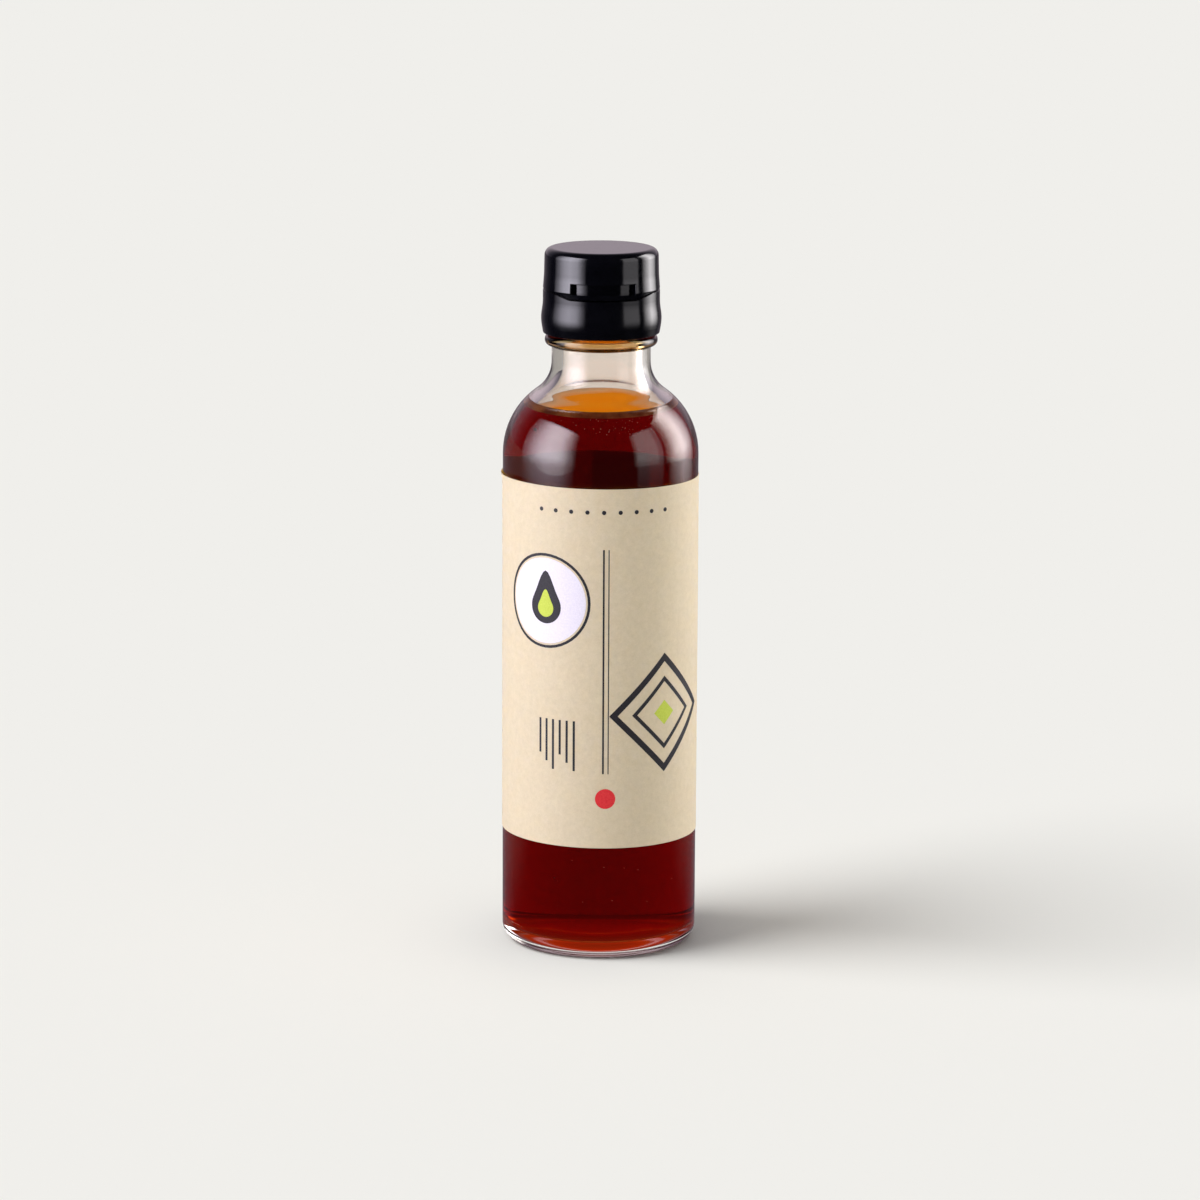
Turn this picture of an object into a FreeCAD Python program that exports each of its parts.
import FreeCAD, Part
import math
import os

import Sketcher

# Syrup bottle: a round glass bottle, the syrup in it, a wrap-around paper label, and a moulded
# flip-top closure of two pieces, a screw-on base with a pouring spout and a hinged lid.
# Millimetres and degrees. +Z up, origin at the centre of the ring that the glass stands on,
# the front of the bottle (label middle, finger slot) at -Y, the lid's hinge at +Y.

SIZES = {
    # Glass body
    "body_radius": 25.0,
    "glass_wall": 3.0,
    "heel_round": 4.0,
    "bearing_width": 1.6,
    "bearing_round": 0.8,
    "push_up": 2.4,
    "push_up_crown": 9.0,
    "push_up_round": 25.0,
    "base_thickness": 3.0,
    "floor_round": 5.0,
    # Shoulder: a cone between two roundings
    "shoulder_corner": 137.75,
    "shoulder_turn": 53.7,
    "shoulder_round": 20.0,
    "flare_round": 9.0,
    # Neck, transfer bead and finish
    "neck_radius": 12.6,
    "neck_length": 8.64,
    "bead_reach": 1.76,
    "bead_height": 2.8,
    "bead_round": 1.3,
    "bead_root_round": 0.4,
    "finish_inset": 0.15,
    "finish_length": 8.7,
    "lip_round": 0.8,
    # Contents
    "fill_rise": 1.45,
    "contents_gap": 0.05,
    # Label
    "label_low": 29.7,
    "label_top_margin": 15.15,
    "label_gap": 0.05,
    "label_thickness": 0.12,
    "label_glue": 0.05,
    "label_butt_turn": 0.7,
    "label_lap_turn": 14.0,
    # Closure base
    "thread_room": 1.4,
    "skirt_wall": 1.02,
    "foot_gap": 0.3,
    "foot_inset": 0.07,
    "foot_round": 0.45,
    "belly_swell": 0.58,
    "belly_rise": 3.7,
    "belly_round": 11.0,
    "waist_rise": 7.7,
    "waist_round": 14.0,
    "seat_gap": 0.05,
    "deck_thickness": 1.35,
    "rim_height": 1.4,
    "rim_wall": 1.6,
    "rim_edge_round": 0.2,
    "inner_round": 0.4,
    # Pouring spout
    "spout_bore": 3.2,
    "spout_tip_wall": 1.5,
    "spout_draft": 0.7,
    "spout_height": 5.4,
    "spout_root_round": 0.8,
    "spout_lip_round": 0.5,
    # Lid
    "parting_gap": 0.25,
    "lid_height": 10.35,
    "lid_edge_round": 2.0,
    "lid_foot_round": 0.25,
    "lid_flare": 0.27,
    "lid_flare_rise": 3.6,
    "lid_flare_round": 18.0,
    "lid_taper": 0.42,
    "lid_wall": 1.4,
    "lid_roof": 1.4,
    "ceiling_round": 1.2,
    "plug_clearance": 0.35,
    "plug_wall": 0.9,
    "plug_depth": 0.7,
    "plug_round": 0.3,
    # Front lip of the lid and the finger slot above it
    "chin_flat_turn": 35.3,
    "chin_reach_turn": 61.0,
    "chin_round": 4.0,
    "chin_setback": 0.25,
    "chin_draft": 0.25,
    "chin_edge_round": 0.15,
    "slot_turn": 68.0,
    "slot_sink": 0.05,
    "slot_height": 2.55,
    "slot_depth": 1.87,
    "slot_edge_round": 0.2,
    "pocket_wall": 1.1,
    "pocket_margin_turn": 9.0,
    # Hinge
    "hinge_pad_width": 10.0,
    "hinge_pad_proud": 0.1,
    "hinge_pad_reach": 1.35,
    "hinge_pad_height": 2.2,
    "hinge_pad_slope": 0.9,
    "hinge_pad_round": 0.5,
    "hinge_bead_radius": 0.4,
    "hinge_bead_length": 9.0,
    "hinge_clearance": 0.1,
    # How far a cutting outline runs past what it cuts
    "cut_margin": 1.0,
}

# Levels and radii that follow from the sheet, as expressions.
SHOULDER_LOW = "Sizes.shoulder_corner"
SHOULDER_HIGH = SHOULDER_LOW + " + (Sizes.body_radius - Sizes.neck_radius) / tan(Sizes.shoulder_turn)"
BEAD_LOW = SHOULDER_HIGH + " + Sizes.neck_length"
BEAD_HIGH = BEAD_LOW + " + Sizes.bead_height"
FINISH_TOP = BEAD_HIGH + " + Sizes.finish_length"
FINISH_RADIUS = "Sizes.neck_radius - Sizes.finish_inset"
FLOOR = "Sizes.push_up + Sizes.base_thickness"
FILL_LEVEL = SHOULDER_LOW + " + Sizes.fill_rise"

LABEL_IN = "Sizes.body_radius + Sizes.label_gap"
LABEL_OUT = LABEL_IN + " + Sizes.label_thickness"
LAP_IN = LABEL_OUT + " + Sizes.label_glue"
LAP_OUT = LAP_IN + " + Sizes.label_thickness"
LABEL_TOP = SHOULDER_LOW + " - Sizes.label_top_margin"

FOOT = BEAD_HIGH + " + Sizes.foot_gap"
DECK_UNDER = FINISH_TOP + " + Sizes.seat_gap"
DECK_TOP = DECK_UNDER + " + Sizes.deck_thickness"
PARTING = DECK_TOP + " + Sizes.rim_height"
SKIRT_BORE = FINISH_RADIUS + " + Sizes.thread_room"
RIM_RADIUS = SKIRT_BORE + " + Sizes.skirt_wall"
RIM_BORE = RIM_RADIUS + " - Sizes.rim_wall"
SPOUT_TOP = DECK_TOP + " + Sizes.spout_height"
SPOUT_TIP = "Sizes.spout_bore + Sizes.spout_tip_wall"
SPOUT_ROOT = SPOUT_TIP + " + Sizes.spout_draft"

LID_LOW = PARTING + " + Sizes.parting_gap"
LID_TOP = LID_LOW + " + Sizes.lid_height"
CEILING = LID_TOP + " - Sizes.lid_roof"
LID_TOP_RADIUS = RIM_RADIUS + " - Sizes.lid_taper"
PLUG_TIP = SPOUT_TOP + " - Sizes.plug_depth"
PLUG_RADIUS = "Sizes.spout_bore - Sizes.plug_clearance"
PLUG_BORE = PLUG_RADIUS + " - Sizes.plug_wall"
CHIN_LOW = DECK_TOP + " + Sizes.parting_gap"
CHIN_FLAT = f"({RIM_RADIUS}) * sin(Sizes.chin_flat_turn)"
CHIN_REACH = f"({RIM_RADIUS}) * sin(Sizes.chin_reach_turn)"
SLOT_LOW = LID_LOW + " - Sizes.slot_sink"
SLOT_HIGH = SLOT_LOW + " + Sizes.slot_height"
SLOT_BACK = RIM_RADIUS + " - Sizes.slot_depth"

PAD_FACE = RIM_RADIUS + " + Sizes.hinge_pad_proud"
PAD_ROOT = PAD_FACE + " - Sizes.hinge_pad_reach"
HINGE_Y = PAD_FACE + " + Sizes.hinge_bead_radius + Sizes.hinge_clearance"
HINGE_Z = PARTING + " + Sizes.parting_gap / 2"

BEYOND = RIM_RADIUS + " + Sizes.cut_margin"
ABOVE = FINISH_TOP + " + Sizes.cut_margin"

# Two levels closer than this are the same level.
TOUCH = 0.001

document = FreeCAD.newDocument("syrup_bottle")
sheet = document.addObject("Spreadsheet::Sheet", "Sizes")
for row, (alias, number) in enumerate(SIZES.items(), start=1):
    sheet.set(f"A{row}", alias)
    sheet.set(f"B{row}", str(number))
    sheet.setAlias(f"B{row}", alias)
document.recompute()


def value(expression):
    """The number that an expression on the sheet gives."""
    return float(sheet.evalExpression(expression))


def new_body(label):
    """An empty body whose label is also the name of its file."""
    body = document.addObject("PartDesign::Body", label)
    body.Label = label
    body.Placement = FreeCAD.Placement()
    return body


def new_sketch(body, name, plane):
    """A sketch on one of the body's own planes."""
    sketch = body.newObject("Sketcher::SketchObject", name)
    origin_plane = next(item for item in body.Origin.OriginFeatures if item.Role == plane)
    sketch.AttachmentSupport = (origin_plane, [""])
    sketch.MapMode = "FlatFace"
    return sketch


def pin(sketch, geometry, position, x, y):
    """Tie a point of the sketch to the expressions x and y."""
    for kind, expression in (("DistanceX", x), ("DistanceY", y)):
        constraint = Sketcher.Constraint(kind, -1, 1, geometry, position, value(expression))
        index = sketch.addConstraint(constraint)
        if expression != "0":
            sketch.setExpression(f"Constraints[{index}]", expression)


def round_corner(sketch, corner, before, after, radius):
    """The arc that rounds a corner: its number and which of its ends comes first along the outline."""
    towards_before = (before - corner).normalize()
    towards_after = (after - corner).normalize()
    half_angle = towards_before.getAngle(towards_after) / 2
    trim = value(radius) / math.tan(half_angle)
    bisector = (towards_before + towards_after).normalize()
    centre = corner + bisector * (value(radius) / math.sin(half_angle))
    first = corner + towards_before * trim - centre
    last = corner + towards_after * trim - centre
    first_angle = math.atan2(first.y, first.x)
    last_angle = math.atan2(last.y, last.x)
    forward = (last_angle - first_angle) % (2 * math.pi) < math.pi
    ends = (first_angle, last_angle) if forward else (last_angle, first_angle)
    circle = Part.Circle(centre, FreeCAD.Vector(0, 0, 1), value(radius))
    arc = sketch.addGeometry(Part.ArcOfCircle(circle, *ends), False)
    index = sketch.addConstraint(Sketcher.Constraint("Radius", arc, value(radius)))
    sketch.setExpression(f"Constraints[{index}]", radius)
    return arc, (1 if forward else 2), centre + first, centre + last


def outline(body, name, plane, corners):
    """A closed outline through corners (x, y, rounding), each an expression; rounding None is sharp."""
    sketch = new_sketch(body, name, plane)
    count = len(corners)
    points = [FreeCAD.Vector(value(x), value(y), 0) for x, y, _ in corners]
    arcs = {}
    for number, (_, _, rounding) in enumerate(corners):
        if rounding:
            after = points[(number + 1) % count]
            arcs[number] = round_corner(sketch, points[number], points[number - 1], after, rounding)
    lines = []
    for number in range(count):
        following = (number + 1) % count
        start = arcs[number][3] if number in arcs else points[number]
        end = arcs[following][2] if following in arcs else points[following]
        lines.append(sketch.addGeometry(Part.LineSegment(start, end), False))
    for number, (x, y, _) in enumerate(corners):
        arriving = lines[number - 1]
        leaving = lines[number]
        if number in arcs:
            arc, first_end = arcs[number][:2]
            last_end = 3 - first_end
            mark = sketch.addGeometry(Part.Point(points[number]), True)
            pin(sketch, mark, 1, x, y)
            sketch.addConstraint(Sketcher.Constraint("PointOnObject", mark, 1, arriving))
            sketch.addConstraint(Sketcher.Constraint("PointOnObject", mark, 1, leaving))
            sketch.addConstraint(Sketcher.Constraint("Tangent", arriving, 2, arc, first_end))
            sketch.addConstraint(Sketcher.Constraint("Tangent", arc, last_end, leaving, 1))
        else:
            sketch.addConstraint(Sketcher.Constraint("Coincident", arriving, 2, leaving, 1))
            pin(sketch, leaving, 1, x, y)
    return sketch


def revolve(body, name, sketch, turn="360", centred=False, reverse=False, remove=False):
    """Turn a sketch about the body's upright axis, adding material or removing it."""
    kind = "PartDesign::Groove" if remove else "PartDesign::Revolution"
    feature = body.newObject(kind, name)
    feature.Profile = sketch
    feature.ReferenceAxis = (sketch, ["V_Axis"])
    feature.Midplane = centred
    feature.Reversed = reverse
    feature.Angle = value(turn)
    if turn != "360":
        feature.setExpression("Angle", turn)
    sketch.Visibility = False


def extrude(body, name, sketch, length, centred=False, reverse=False, remove=False):
    """Push a sketch straight out, adding material or removing it."""
    kind = "PartDesign::Pocket" if remove else "PartDesign::Pad"
    feature = body.newObject(kind, name)
    feature.Profile = sketch
    feature.Midplane = centred
    feature.Reversed = reverse
    feature.Length = value(length)
    feature.setExpression("Length", length)
    sketch.Visibility = False


def round_edges(body, name, radius, chosen):
    """Round the edges of the body that chosen(edge) accepts."""
    document.recompute()
    base = body.Tip
    names = [f"Edge{number}" for number, edge in enumerate(base.Shape.Edges, start=1) if chosen(edge)]
    feature = body.newObject("PartDesign::Fillet", name)
    feature.Base = (base, names)
    feature.Radius = value(radius)
    feature.setExpression("Radius", radius)


def cavity_corners(gap):
    """The inside of the glass from the floor to above the mouth, drawn in by a gap."""
    inset = f"(Sizes.glass_wall + {gap})"
    drop = f"{inset} * tan(Sizes.shoulder_turn / 2)"
    side = f"Sizes.body_radius - {inset}"
    throat = f"Sizes.neck_radius - {inset}"
    floor = f"{FLOOR} + {gap}"
    return [
        ("0", floor, None),
        (side, floor, f"Sizes.floor_round - {gap}"),
        (side, f"{SHOULDER_LOW} - {drop}", f"Sizes.shoulder_round - {inset}"),
        (throat, f"{SHOULDER_HIGH} - {drop}", f"Sizes.flare_round + {inset}"),
        (throat, ABOVE, None),
        ("0", ABOVE, None),
    ]


def make_glass():
    """The bottle: foot ring and push-up, straight wall, round shoulder, neck, bead and finish."""
    body = new_body("glass_bottle")
    bearing_edge = "Sizes.body_radius - Sizes.heel_round - Sizes.bearing_width"
    bead_radius = "Sizes.neck_radius + Sizes.bead_reach"
    outside = outline(body, "OutsideProfile", "XZ_Plane", [
        ("0", "Sizes.push_up", None),
        ("Sizes.push_up_crown", "Sizes.push_up", "Sizes.push_up_round"),
        (bearing_edge, "0", "Sizes.bearing_round"),
        ("Sizes.body_radius", "0", "Sizes.heel_round"),
        ("Sizes.body_radius", SHOULDER_LOW, "Sizes.shoulder_round"),
        ("Sizes.neck_radius", SHOULDER_HIGH, "Sizes.flare_round"),
        ("Sizes.neck_radius", BEAD_LOW, "Sizes.bead_root_round"),
        (bead_radius, BEAD_LOW, "Sizes.bead_round"),
        (bead_radius, BEAD_HIGH, "Sizes.bead_round"),
        (FINISH_RADIUS, BEAD_HIGH, "Sizes.bead_root_round"),
        (FINISH_RADIUS, FINISH_TOP, "Sizes.lip_round"),
        ("0", FINISH_TOP, None),
    ])
    revolve(body, "Outside", outside)
    inside = outline(body, "CavityProfile", "XZ_Plane", cavity_corners("0"))
    revolve(body, "Cavity", inside, remove=True)
    return body


def make_syrup():
    """The syrup: the inside of the glass, just clear of it, up to the fill level."""
    body = new_body("syrup")
    profile = outline(body, "FillProfile", "XZ_Plane", cavity_corners("Sizes.contents_gap"))
    revolve(body, "Fill", profile)
    surface = outline(body, "SurfaceProfile", "XZ_Plane", [
        ("0", FILL_LEVEL, None),
        ("Sizes.body_radius", FILL_LEVEL, None),
        ("Sizes.body_radius", f"{ABOVE} + Sizes.cut_margin", None),
        ("0", f"{ABOVE} + Sizes.cut_margin", None),
    ])
    revolve(body, "Headspace", surface, remove=True)
    return body


def sheet_section(inner, outer):
    """A section of the paper between two radii, as high as the label, on the rear side."""
    return [
        (inner, "Sizes.label_low", None),
        (outer, "Sizes.label_low", None),
        (outer, LABEL_TOP, None),
        (inner, LABEL_TOP, None),
    ]


def make_label():
    """The paper label: one wrap whose far end steps up and laps over its start at the back."""
    body = new_body("label")
    wrap = outline(body, "WrapSection", "YZ_Plane", sheet_section(LABEL_IN, LABEL_OUT))
    revolve(body, "Wrap", wrap, turn="360 - Sizes.label_butt_turn")
    step = outline(body, "StepSection", "YZ_Plane", sheet_section(LABEL_IN, LAP_OUT))
    revolve(body, "Step", step, turn="Sizes.label_butt_turn")
    lap = outline(body, "LapSection", "YZ_Plane", sheet_section(LAP_IN, LAP_OUT))
    revolve(body, "Lap", lap, turn="Sizes.label_lap_turn", reverse=True)
    return body


def chin_corners(side_level, low_level):
    """The front elevation of the lid's lip: flat below, rising at both sides to side_level."""
    return [
        (f"-{CHIN_REACH}", side_level, None),
        (f"-{CHIN_FLAT}", low_level, "Sizes.chin_round"),
        (CHIN_FLAT, low_level, "Sizes.chin_round"),
        (CHIN_REACH, side_level, None),
    ]


def make_closure_base():
    """The screw-on base: skirt, deck with the pouring spout, rim with a dip for the lip, hinge."""
    body = new_body("cap_base")
    foot_radius = f"{RIM_RADIUS} - Sizes.foot_inset"
    belly = f"{RIM_RADIUS} + Sizes.belly_swell"
    profile = outline(body, "BaseProfile", "XZ_Plane", [
        (SKIRT_BORE, FOOT, None),
        (foot_radius, FOOT, "Sizes.foot_round"),
        (belly, f"{FOOT} + Sizes.belly_rise", "Sizes.belly_round"),
        (RIM_RADIUS, f"{FOOT} + Sizes.waist_rise", "Sizes.waist_round"),
        (RIM_RADIUS, PARTING, "Sizes.rim_edge_round"),
        (RIM_BORE, PARTING, "Sizes.rim_edge_round"),
        (RIM_BORE, DECK_TOP, "Sizes.inner_round"),
        ("Sizes.spout_bore", DECK_TOP, None),
        ("Sizes.spout_bore", DECK_UNDER, None),
        (SKIRT_BORE, DECK_UNDER, "Sizes.inner_round"),
    ])
    revolve(body, "Base", profile)
    dip = outline(
        body, "DipProfile", "XZ_Plane",
        chin_corners(PARTING, DECK_TOP) + [
            (CHIN_REACH, f"{PARTING} + Sizes.cut_margin", None),
            (f"-{CHIN_REACH}", f"{PARTING} + Sizes.cut_margin", None),
        ])
    extrude(body, "Dip", dip, BEYOND, reverse=True, remove=True)
    spout = outline(body, "SpoutProfile", "XZ_Plane", [
        ("Sizes.spout_bore", DECK_UNDER, None),
        (f"{SPOUT_ROOT} + Sizes.spout_root_round", DECK_UNDER, None),
        (f"{SPOUT_ROOT} + Sizes.spout_root_round", DECK_TOP, None),
        (SPOUT_ROOT, DECK_TOP, "Sizes.spout_root_round"),
        (SPOUT_TIP, SPOUT_TOP, "Sizes.spout_lip_round"),
        ("Sizes.spout_bore", SPOUT_TOP, "Sizes.spout_lip_round"),
    ])
    revolve(body, "Spout", spout)
    pad = outline(body, "HingePadProfile", "YZ_Plane", [
        (PAD_ROOT, DECK_UNDER, None),
        (PAD_FACE, f"{DECK_UNDER} + Sizes.hinge_pad_slope", "Sizes.hinge_pad_round"),
        (PAD_FACE, PARTING, None),
        (PAD_ROOT, PARTING, None),
    ])
    extrude(body, "HingePad", pad, "Sizes.hinge_pad_width", centred=True)
    web = outline(body, "HingeWebProfile", "YZ_Plane", [
        (PAD_ROOT, f"{HINGE_Z} - Sizes.hinge_bead_radius", None),
        (HINGE_Y, f"{HINGE_Z} - Sizes.hinge_bead_radius", None),
        (HINGE_Y, PARTING, None),
        (PAD_ROOT, PARTING, None),
    ])
    extrude(body, "HingeWeb", web, "Sizes.hinge_bead_length", centred=True)
    bead = new_sketch(body, "HingeBeadProfile", "YZ_Plane")
    centre = FreeCAD.Vector(value(HINGE_Y), value(HINGE_Z), 0)
    radius = value("Sizes.hinge_bead_radius")
    ring = bead.addGeometry(Part.Circle(centre, FreeCAD.Vector(0, 0, 1), radius), False)
    pin(bead, ring, 3, HINGE_Y, HINGE_Z)
    index = bead.addConstraint(Sketcher.Constraint("Radius", ring, radius))
    bead.setExpression(f"Constraints[{index}]", "Sizes.hinge_bead_radius")
    extrude(body, "HingeBead", bead, "Sizes.hinge_bead_length", centred=True)
    return body


def make_lid():
    """The hinged lid: domed-edge shell with a spout plug, front lip, finger slot and hinge pad."""
    body = new_body("cap_lid")
    flare_level = f"{LID_LOW} + Sizes.lid_flare_rise"
    profile = outline(body, "LidProfile", "XZ_Plane", [
        (RIM_BORE, LID_LOW, None),
        (RIM_RADIUS, LID_LOW, "Sizes.lid_foot_round"),
        (f"{RIM_RADIUS} - Sizes.lid_flare", flare_level, "Sizes.lid_flare_round"),
        (LID_TOP_RADIUS, LID_TOP, "Sizes.lid_edge_round"),
        ("0", LID_TOP, None),
        ("0", CEILING, None),
        (PLUG_BORE, CEILING, "Sizes.plug_round"),
        (PLUG_BORE, PLUG_TIP, "Sizes.plug_round"),
        (PLUG_RADIUS, PLUG_TIP, "Sizes.plug_round"),
        (PLUG_RADIUS, CEILING, "Sizes.plug_round"),
        (f"{LID_TOP_RADIUS} - Sizes.lid_wall", CEILING, "Sizes.ceiling_round"),
    ])
    revolve(body, "Shell", profile)
    chin = outline(body, "ChinSection", "YZ_Plane", [
        (f"-({RIM_BORE})", CHIN_LOW, None),
        (f"-({RIM_RADIUS} - Sizes.chin_setback - Sizes.chin_draft)", CHIN_LOW, "Sizes.chin_edge_round"),
        (f"-({RIM_RADIUS} - Sizes.chin_setback)", f"{LID_LOW} + Sizes.lid_foot_round", None),
        (f"-({RIM_BORE})", f"{LID_LOW} + Sizes.lid_foot_round", None),
    ])
    revolve(body, "Chin", chin, turn="180", centred=True)
    pocket = outline(body, "PocketWallSection", "YZ_Plane", [
        (f"-({SLOT_BACK} - Sizes.pocket_wall)", CHIN_LOW, None),
        (f"-({RIM_BORE} + Sizes.lid_foot_round)", CHIN_LOW, None),
        (f"-({RIM_BORE} + Sizes.lid_foot_round)", f"{SLOT_HIGH} + Sizes.pocket_wall", None),
        (f"-({SLOT_BACK} - Sizes.pocket_wall)", f"{SLOT_HIGH} + Sizes.pocket_wall", "Sizes.inner_round"),
    ])
    revolve(body, "PocketWall", pocket, turn="Sizes.slot_turn + Sizes.pocket_margin_turn", centred=True)
    trim = outline(body, "ChinTrimProfile", "XZ_Plane", [
        (f"-({BEYOND})", LID_LOW, None),
    ] + chin_corners(LID_LOW, CHIN_LOW) + [
        (BEYOND, LID_LOW, None),
        (BEYOND, f"{CHIN_LOW} - Sizes.cut_margin", None),
        (f"-({BEYOND})", f"{CHIN_LOW} - Sizes.cut_margin", None),
    ])
    extrude(body, "ChinTrim", trim, BEYOND, reverse=True, remove=True)
    slot = outline(body, "SlotSection", "YZ_Plane", [
        (f"-({SLOT_BACK})", SLOT_LOW, None),
        (f"-({BEYOND})", SLOT_LOW, None),
        (f"-({BEYOND})", SLOT_HIGH, None),
        (f"-({SLOT_BACK})", SLOT_HIGH, None),
    ])
    revolve(body, "Slot", slot, turn="Sizes.slot_turn", centred=True, remove=True)

    def on_slot_mouth(edge):
        """True for an edge along the top or a side of the slot, on the lid's outer wall."""
        points = [vertex.Point for vertex in edge.Vertexes]
        levels = [point.z for point in points]
        half_way_in = value(f"{SLOT_BACK} + Sizes.slot_depth / 2")
        outside = all(math.hypot(point.x, point.y) > half_way_in for point in points)
        in_front = all(point.y < 0 for point in points)
        above_floor = min(levels) > value(SLOT_LOW) - TOUCH
        below_top = max(levels) < value(SLOT_HIGH) + TOUCH
        rising = max(levels) - min(levels) > TOUCH
        at_top = min(levels) > value(SLOT_HIGH) - TOUCH
        return outside and in_front and above_floor and below_top and (rising or at_top)

    round_edges(body, "SlotMouth", "Sizes.slot_edge_round", on_slot_mouth)
    pad = outline(body, "HingePadProfile", "YZ_Plane", [
        (PAD_ROOT, LID_LOW, None),
        (PAD_FACE, LID_LOW, None),
        (PAD_FACE, f"{LID_LOW} + Sizes.hinge_pad_height", "Sizes.hinge_pad_round"),
        (PAD_ROOT, f"{LID_LOW} + Sizes.hinge_pad_height + Sizes.hinge_pad_slope", None),
    ])
    extrude(body, "HingePad", pad, "Sizes.hinge_pad_width", centred=True)
    return body


bodies = [make_glass(), make_syrup(), make_label(), make_closure_base(), make_lid()]
document.recompute()

for item in document.Objects:
    faults = [word for word in item.State if word in ("Invalid", "Error")]
    if faults:
        raise RuntimeError(f"{item.Name} failed: {faults}")
    if item.TypeId == "Sketcher::SketchObject" and not item.FullyConstrained:
        raise RuntimeError(f"{item.Name} is not fully constrained")

for body in bodies:
    shape = body.Shape
    if shape.isNull() or not shape.isValid() or len(shape.Solids) != 1:
        raise RuntimeError(f"{body.Label} is not one valid solid")

os.makedirs("parts", exist_ok=True)
for body in bodies:
    body.Shape.exportStep(f"parts/{body.Label}.step")
    print(body.Label, round(body.Shape.Volume, 1), body.Shape.BoundBox)
